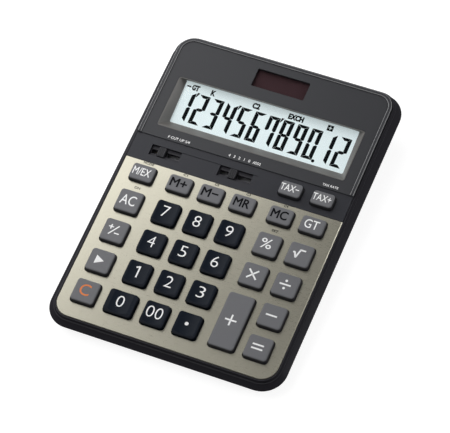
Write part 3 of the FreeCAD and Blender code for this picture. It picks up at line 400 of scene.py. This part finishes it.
# Text, width and height of each word
WORDS = {"memory_exchange": ("M/EX", 11.0, 5.2), "grand_total": ("GT", 8.8, 5.8),
         "all_clear": ("AC", 9.6, 6.6), "percent": ("%", 6.8, 6.6),
         "tax_minus": ("TAX−", 11.6, 4.4), "tax_plus": ("TAX+", 11.6, 4.4)}
BLACK_WORDS = {"memory_plus": ("M+", 10.2, 5.6), "memory_minus": ("M−", 10.2, 5.6),
               "memory_recall": ("MR", 9.8, 5.6), "memory_clear": ("MC", 10.0, 5.6)}
WORD_Y = 0.2
for words, material, spread in ((WORDS, white_print, WHITE_SPREAD), (BLACK_WORDS, black_print, BLACK_SPREAD)):
    for key, (text, width, height) in words.items():
        legend(key, word_shape(text, width, height, 0, WORD_Y, spread), material)
CLEAR_WIDE = 6.4
CLEAR_TALL = 7.4
CLEAR_Y = 0.4
legend("clear", word_shape("C", CLEAR_WIDE, CLEAR_TALL, 0, CLEAR_Y, WHITE_SPREAD), orange_print)

# Signs, drawn round the middle of the key
STROKE = 1.05
THIN_STROKE = 0.8
CROSS_REACH = 3
SIGN_REACH = 3.5
ADD_REACH = 3.6
DOT_Y = 2.5
DOT_RADIUS = 0.8
EQUALS_Y = 1.3
SIGNS = {
    "times": (bar(-CROSS_REACH, -CROSS_REACH, CROSS_REACH, CROSS_REACH, STROKE),
              bar(-CROSS_REACH, CROSS_REACH, CROSS_REACH, -CROSS_REACH, STROKE)),
    "divide": (bar(-SIGN_REACH, 0, SIGN_REACH, 0, STROKE), disc(0, DOT_Y, DOT_RADIUS),
               disc(0, -DOT_Y, DOT_RADIUS)),
    "minus": (bar(-SIGN_REACH, 0, SIGN_REACH, 0, STROKE),),
    "equals": (bar(-SIGN_REACH, EQUALS_Y, SIGN_REACH, EQUALS_Y, STROKE),
               bar(-SIGN_REACH, -EQUALS_Y, SIGN_REACH, -EQUALS_Y, STROKE)),
    "plus": (bar(-ADD_REACH, 0, ADD_REACH, 0, STROKE), bar(0, STROKE/2, 0, ADD_REACH, STROKE),
             bar(0, -STROKE/2, 0, -ADD_REACH, STROKE)),
    "root": (bar(-3.6, 0.3, -2.7, 0.8, STROKE), bar(-2.7, 0.8, -1.2, -2.9, STROKE),
             bar(-1.2, -2.9, 0.4, 3.0, STROKE), bar(0.2, 2.75, 3.6, 2.75, STROKE)),
    "sign": (bar(-3.9, 1.8, -0.7, 1.8, THIN_STROKE), bar(-2.3, 2.2, -2.3, 3.4, THIN_STROKE),
             bar(-2.3, 1.4, -2.3, 0.2, THIN_STROKE), bar(-2.4, -3.4, 2.4, 3.4, THIN_STROKE),
             bar(0.9, -1.9, 4.0, -1.9, THIN_STROKE)),
    "back": ([(-2.6, -2.9), (2.9, 0), (-2.6, 2.9)],),
}
for key, shapes in SIGNS.items():
    legend(key, join_shapes(*shapes))

# Small words on the head and above some keys
HEAD_TOP = 0.6
HEAD_SPREAD = 0.03
PLATE_SPREAD = 0.06


def print_word(name, text, width, height, x, y, level, material, slot, spread):
    points, faces = word_shape(text, width, height, x, y, spread)
    add_mesh("print_" + name, points, faces, DECK, level_lift(level + PRINT_LIFT), material, "case")


HEAD_WORD_Y = 30.6
TAX_WORD_Y = 30.4
PLACES = "43210"
PLACE_HEIGHT = 1.8
FIRST_PLACE_X = -10.5
PLACE_PITCH = 3.2
head_words = [("rounding", "F CUT UP 5/4", 14.2, 1.7, -43.8, HEAD_WORD_Y)]
for place, digit in enumerate(PLACES):
    x = FIRST_PLACE_X + PLACE_PITCH*place
    head_words.append(("decimal_" + digit, digit, None, PLACE_HEIGHT, x, HEAD_WORD_Y))
head_words.append(("decimal_add", "ADD2", 5.0, 1.7, 7.2, HEAD_WORD_Y))
head_words.append(("tax_rate", "TAX RATE", 10.0, 1.5, 54.8, TAX_WORD_Y))
for word in head_words:
    print_word(*word, HEAD_TOP, white_print, "panel_grey", HEAD_SPREAD)

SHORT_KEY_RISE = 8.05
TALL_KEY_RISE = 10.98
PLATE_WORD_X = 0.3
PLATE_WORD_HEIGHT = 1.4
PLATE_WORDS = (("mode", "MODE", 6.6, "memory_exchange", SHORT_KEY_RISE),
               ("cost_1", "C1", 2.6, "memory_plus", SHORT_KEY_RISE),
               ("cost_2", "C2", 2.6, "memory_minus", SHORT_KEY_RISE),
               ("cost_3", "C3", 2.6, "memory_recall", SHORT_KEY_RISE),
               ("cost_4", "C4", 2.6, "memory_clear", SHORT_KEY_RISE),
               ("on", "ON", 3.6, "all_clear", TALL_KEY_RISE),
               ("set", "SET", 4.0, "percent", TALL_KEY_RISE))
for name, text, width, key, rise in PLATE_WORDS:
    x, y = key_middle(key)
    print_word(name, text, width, PLATE_WORD_HEIGHT, x + PLATE_WORD_X, y + rise, 0, grey_print, "plate_metal",
               PLATE_SPREAD)

# Contact tracks of the slide switches, on the board under the slots; their pale grey is painted light that
# lifts the shade deep in the slots
BOARD_TOP = -8.0
TRACK_FRONT = 15.0
TRACK_REAR = 23.6
TRACKS = (("rounding", -59.5, -37.0), ("decimal", -14.6, 9.6))
for name, left, right in TRACKS:
    corners = [(left, TRACK_FRONT), (right, TRACK_FRONT), (right, TRACK_REAR), (left, TRACK_REAR)]
    add_mesh("track_" + name, corners, [(0, 1, 2, 3)], DECK, level_lift(BOARD_TOP + PRINT_LIFT), track_grey,
             "case")

# Digits of the display, slanted seven-segment figures on the face of the panel
DIGIT_WIDTH = 7.0
DIGIT_HEIGHT = 20.1
STEM = 2.4
BEAM = 1.95
SEGMENT_GAP = 0.07
SLANT = 0.03
SEGMENTS = {"0": "abcdef", "1": "bc", "2": "abdeg", "3": "abcdg", "4": "bcfg", "5": "acdfg", "6": "acdefg",
            "7": "abcf", "8": "abcdefg", "9": "abcdfg"}


def segment_shapes(letters):
    """The strokes of one figure, around its middle."""
    half = DIGIT_WIDTH/2
    inner = half - STEM
    top = DIGIT_HEIGHT/2
    shapes = []
    for letter in letters:
        if letter == "g":
            tip = half - STEM/2 - SEGMENT_GAP
            shapes.append([(-tip, 0), (-inner, -BEAM/2), (inner, -BEAM/2), (tip, 0), (inner, BEAM/2),
                           (-inner, BEAM/2)])
        elif letter in "ad":
            side = 1 if letter == "a" else -1
            shapes.append([(-half + SEGMENT_GAP, side*top), (half - SEGMENT_GAP, side*top),
                           (inner - SEGMENT_GAP, side*(top - BEAM)),
                           (-inner + SEGMENT_GAP, side*(top - BEAM))])
        else:
            side = 1 if letter in "bc" else -1
            up = 1 if letter in "bf" else -1
            shapes.append([(side*half, up*(top - SEGMENT_GAP)), (side*half, up*BEAM/4),
                           (side*(half - STEM/2), up*SEGMENT_GAP),
                           (side*inner, up*(SEGMENT_GAP + BEAM/2)),
                           (side*inner, up*(top - BEAM - SEGMENT_GAP))])
    return shapes


def slanted(shape, x, y):
    return [(px + SLANT*py + x, py + y) for px, py in shape]


FIGURES = "123456789012"
FIRST_FIGURE = -51.8
FIGURE_PITCH = 9.305
FIGURE_Y = -1.4
lcd_shapes = []
for place, figure in enumerate(FIGURES):
    for shape in segment_shapes(SEGMENTS[figure]):
        lcd_shapes.append(slanted(shape, FIRST_FIGURE + FIGURE_PITCH*place, FIGURE_Y))

# The ticks that part the thousands, and the decimal point; places are counted in figures
TICK_PLACES = (0.52, 3.52, 6.52)
TICK_LOW = 7.6
TICK_HIGH = 10.6
TICK = ((-1.0, TICK_LOW), (-0.5, TICK_LOW), (1.0, TICK_HIGH), (-0.6, TICK_HIGH))
POINT_PLACE = 9.46
POINT_DROP = 10.2
POINT_RADIUS = 1.05
for place in TICK_PLACES:
    lcd_shapes.append([(FIRST_FIGURE + FIGURE_PITCH*place + x, FIGURE_Y + y) for x, y in TICK])
lcd_shapes.append(disc(FIRST_FIGURE + FIGURE_PITCH*POINT_PLACE, FIGURE_Y - POINT_DROP, POINT_RADIUS))

# The row of indicators above the figures: a minus sign, words and a boxed plus
LCD_LIFT = -1.06
INDICATOR_Y = 11.8
INDICATOR_HEIGHT = 3.3
INDICATOR_SPREAD = 0.27
MINUS_LEFT = -55.9
MINUS_RIGHT = -53.1
MINUS_WIDE = 1.0
PLUS_BOX_X = 38.8
BOX_HALF = 1.9
PLUS_REACH = 1.2
PLUS_HALF = 0.22
BOX_BORDER = BOX_HALF - PLUS_REACH
lcd_shapes.append(bar(MINUS_LEFT, INDICATOR_Y, MINUS_RIGHT, INDICATOR_Y, MINUS_WIDE))
for side in (-1, 1):
    edge = side*(BOX_HALF + PLUS_REACH)/2
    y = INDICATOR_Y + edge
    lcd_shapes.append(bar(PLUS_BOX_X - BOX_HALF, y, PLUS_BOX_X + BOX_HALF, y, BOX_BORDER))
    x = PLUS_BOX_X + edge
    lcd_shapes.append(bar(x, INDICATOR_Y - PLUS_REACH, x, INDICATOR_Y + PLUS_REACH, BOX_BORDER))
    for up in (-1, 1):
        y = INDICATOR_Y + up*(PLUS_REACH + PLUS_HALF)/2
        lcd_shapes.append(bar(PLUS_BOX_X + side*PLUS_HALF, y, PLUS_BOX_X + side*PLUS_REACH, y,
                              PLUS_REACH - PLUS_HALF))
INDICATORS = (("total", "GT", 4.4, -50.0), ("constant", "K", 2.2, -38.4), ("cost", "C2", 4.4, -9.7),
              ("exchange", "EXCH", 9.4, 16.5))
lcd_pieces = {"figures": join_shapes(*lcd_shapes)}
for name, text, width, x in INDICATORS:
    lcd_pieces[name] = word_shape(text, width, INDICATOR_HEIGHT, x, INDICATOR_Y, INDICATOR_SPREAD)
for name, (points, faces) in lcd_pieces.items():
    add_mesh("lcd_" + name, points, faces, VIEW, level_lift(LCD_LIFT), lcd_ink, "case")

# The key mat: its sheet, and a dome under each key as a piece of its own. A face is a dome's where its middle
# is more than the slack above the sheet.
MAT_THICK = 1.0
DOME_SLACK = 0.1
NOT_KEYS = ("key_mat", "key_plate")
mat = nodes["key_mat"]
mat_points = [DECK.inverted() @ mat.matrix_world @ vertex.co for vertex in mat.data.vertices]
sheet_top = min(point.z for point in mat_points) + MAT_THICK
keys = [name for name in nodes if name.startswith("key_") and name not in NOT_KEYS]
key_places = {name: key_middle(name.removeprefix("key_")) for name in keys}


def mat_piece(name, faces):
    """Some faces of the mat's solid as a piece of their own."""
    corners = sorted({corner for face in faces for corner in face})
    number = {corner: place for place, corner in enumerate(corners)}
    mesh = bpy.data.meshes.new(name)
    points = [mat.data.vertices[corner].co for corner in corners]
    mesh.from_pydata(points, [], [[number[corner] for corner in face] for face in faces])
    mesh.materials.append(mat.data.materials[0])
    piece = bpy.data.objects.new(name, mesh)
    piece.matrix_world = mat.matrix_world
    scene.collection.objects.link(piece)
    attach(piece, "case")
    return piece


mat_faces = {}
for polygon in mat.data.polygons:
    corners = [mat_points[corner] for corner in polygon.vertices]
    middle = sum(corners, Vector())/len(corners)
    under = "sheet"
    if middle.z > sheet_top + DOME_SLACK:
        under = min(keys, key=lambda name: math.dist(key_places[name], middle.xy))
    mat_faces.setdefault(under, []).append(list(polygon.vertices))
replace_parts(mat_piece("mat_sheet", mat_faces.pop("sheet")), "key_mat")
for name, faces in mat_faces.items():
    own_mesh(mat_piece("mat_dome_" + name, faces))

# Floor and world: white to the camera, and dim to the object
FLOOR_HALF = 6
FLOOR_DROP = 0.0002
FLOOR_GLOW = 0.88
FLOOR_ROUGHNESS = 0.9
FLOOR_TONE = (0.35, 0.35, 0.35)
MIRRORED_TONE = (0.07, 0.07, 0.07)
AROUND_STRENGTH = 0.16
WHITE = (1, 1, 1, 1)
floor_mesh = bpy.data.meshes.new("floor")
floor_mesh.from_pydata([(-FLOOR_HALF, -FLOOR_HALF, 0), (FLOOR_HALF, -FLOOR_HALF, 0),
                        (FLOOR_HALF, FLOOR_HALF, 0), (-FLOOR_HALF, FLOOR_HALF, 0)], [], [(0, 1, 2, 3)])
floor = bpy.data.objects.new("floor", floor_mesh)
floor.location.z = -FLOOR_DROP
scene.collection.objects.link(floor)
floor_white = new_material("floor_white", FLOOR_TONE, FLOOR_ROUGHNESS, 0.0, 0.0)
floor_shader = floor_white.node_tree.nodes["Principled BSDF"]
floor_shader.inputs["Emission Color"].default_value = WHITE
seen = add_node(floor_white, "ShaderNodeLightPath")
glow = add_node(floor_white, "ShaderNodeMapRange")
glow.inputs["To Max"].default_value = FLOOR_GLOW
tones = add_node(floor_white, "ShaderNodeMixRGB", Color1=(*FLOOR_TONE, 1), Color2=(*MIRRORED_TONE, 1))
link(floor_white, seen, "Is Camera Ray", glow, "Value")
link(floor_white, glow, "Result", floor_shader, "Emission Strength")
link(floor_white, seen, "Is Glossy Ray", tones, "Fac")
link(floor_white, tones, "Color", floor_shader, "Base Color")
floor_mesh.materials.append(floor_white)

world = bpy.data.worlds.new("studio")
scene.world = world
world.use_nodes = True
world.node_tree.nodes.clear()
path = add_node(world, "ShaderNodeLightPath")
around = add_node(world, "ShaderNodeBackground", Color=WHITE, Strength=AROUND_STRENGTH)
backdrop = add_node(world, "ShaderNodeBackground", Color=WHITE)
mixer = add_node(world, "ShaderNodeMixShader")
output = add_node(world, "ShaderNodeOutputWorld")
link(world, path, "Is Camera Ray", mixer, 0)
link(world, around, 0, mixer, 1)
link(world, backdrop, 0, mixer, 2)
link(world, mixer, 0, output, "Surface")


def add_light(name, place, aim, size, watts):
    """A rectangular lamp at a place, turned to its aim, that the camera doesn't see."""
    lamp = bpy.data.lights.new(name, "AREA")
    lamp.shape = "RECTANGLE"
    lamp.size = size[0]
    lamp.size_y = size[1]
    lamp.energy = watts
    holder = bpy.data.objects.new(name, lamp)
    holder.location = place
    holder.rotation_euler = (Vector(aim) - Vector(place)).to_track_quat("-Z", "Y").to_euler()
    holder.visible_camera = False
    scene.collection.objects.link(holder)


add_light("left_box", (-0.385, 0.275, 0.37), (-0.02, 0, 0.02), (0.4, 0.6), 2.5)
add_light("right_strip", (0.95, 0.55, 0.32), (0, 0, 0.02), (0.2, 0.7), 4.2)
add_light("top_box", (-0.4, -0.3, 1.2), (0, 0, 0.02), (0.8, 0.8), 4.9)

CAMERA_FROM = Vector((0.42208, -0.74451, 1.28723))
CAMERA_AIM = Vector((0.00313, -0.01007, 0.02425))
CAMERA_ROLL = math.radians(-7.983)
CAMERA_SENSOR = 36
CAMERA_LENS = 204.87
CAMERA_NEAR = 0.05
camera_data = bpy.data.cameras.new("camera")
camera_data.sensor_width = CAMERA_SENSOR
camera_data.lens = CAMERA_LENS
camera_data.clip_start = CAMERA_NEAR
camera = bpy.data.objects.new("camera", camera_data)
look = (CAMERA_AIM - CAMERA_FROM).to_track_quat("-Z", "Y").to_matrix().to_4x4()
camera.matrix_world = Matrix.Translation(CAMERA_FROM) @ look @ Matrix.Rotation(CAMERA_ROLL, 4, "Z")
scene.collection.objects.link(camera)
scene.camera = camera
scene.view_settings.view_transform = "Standard"

for name in nodes:
    mesh = nodes[name].data
    mesh.polygons.foreach_set("use_smooth", [False]*len(mesh.polygons))
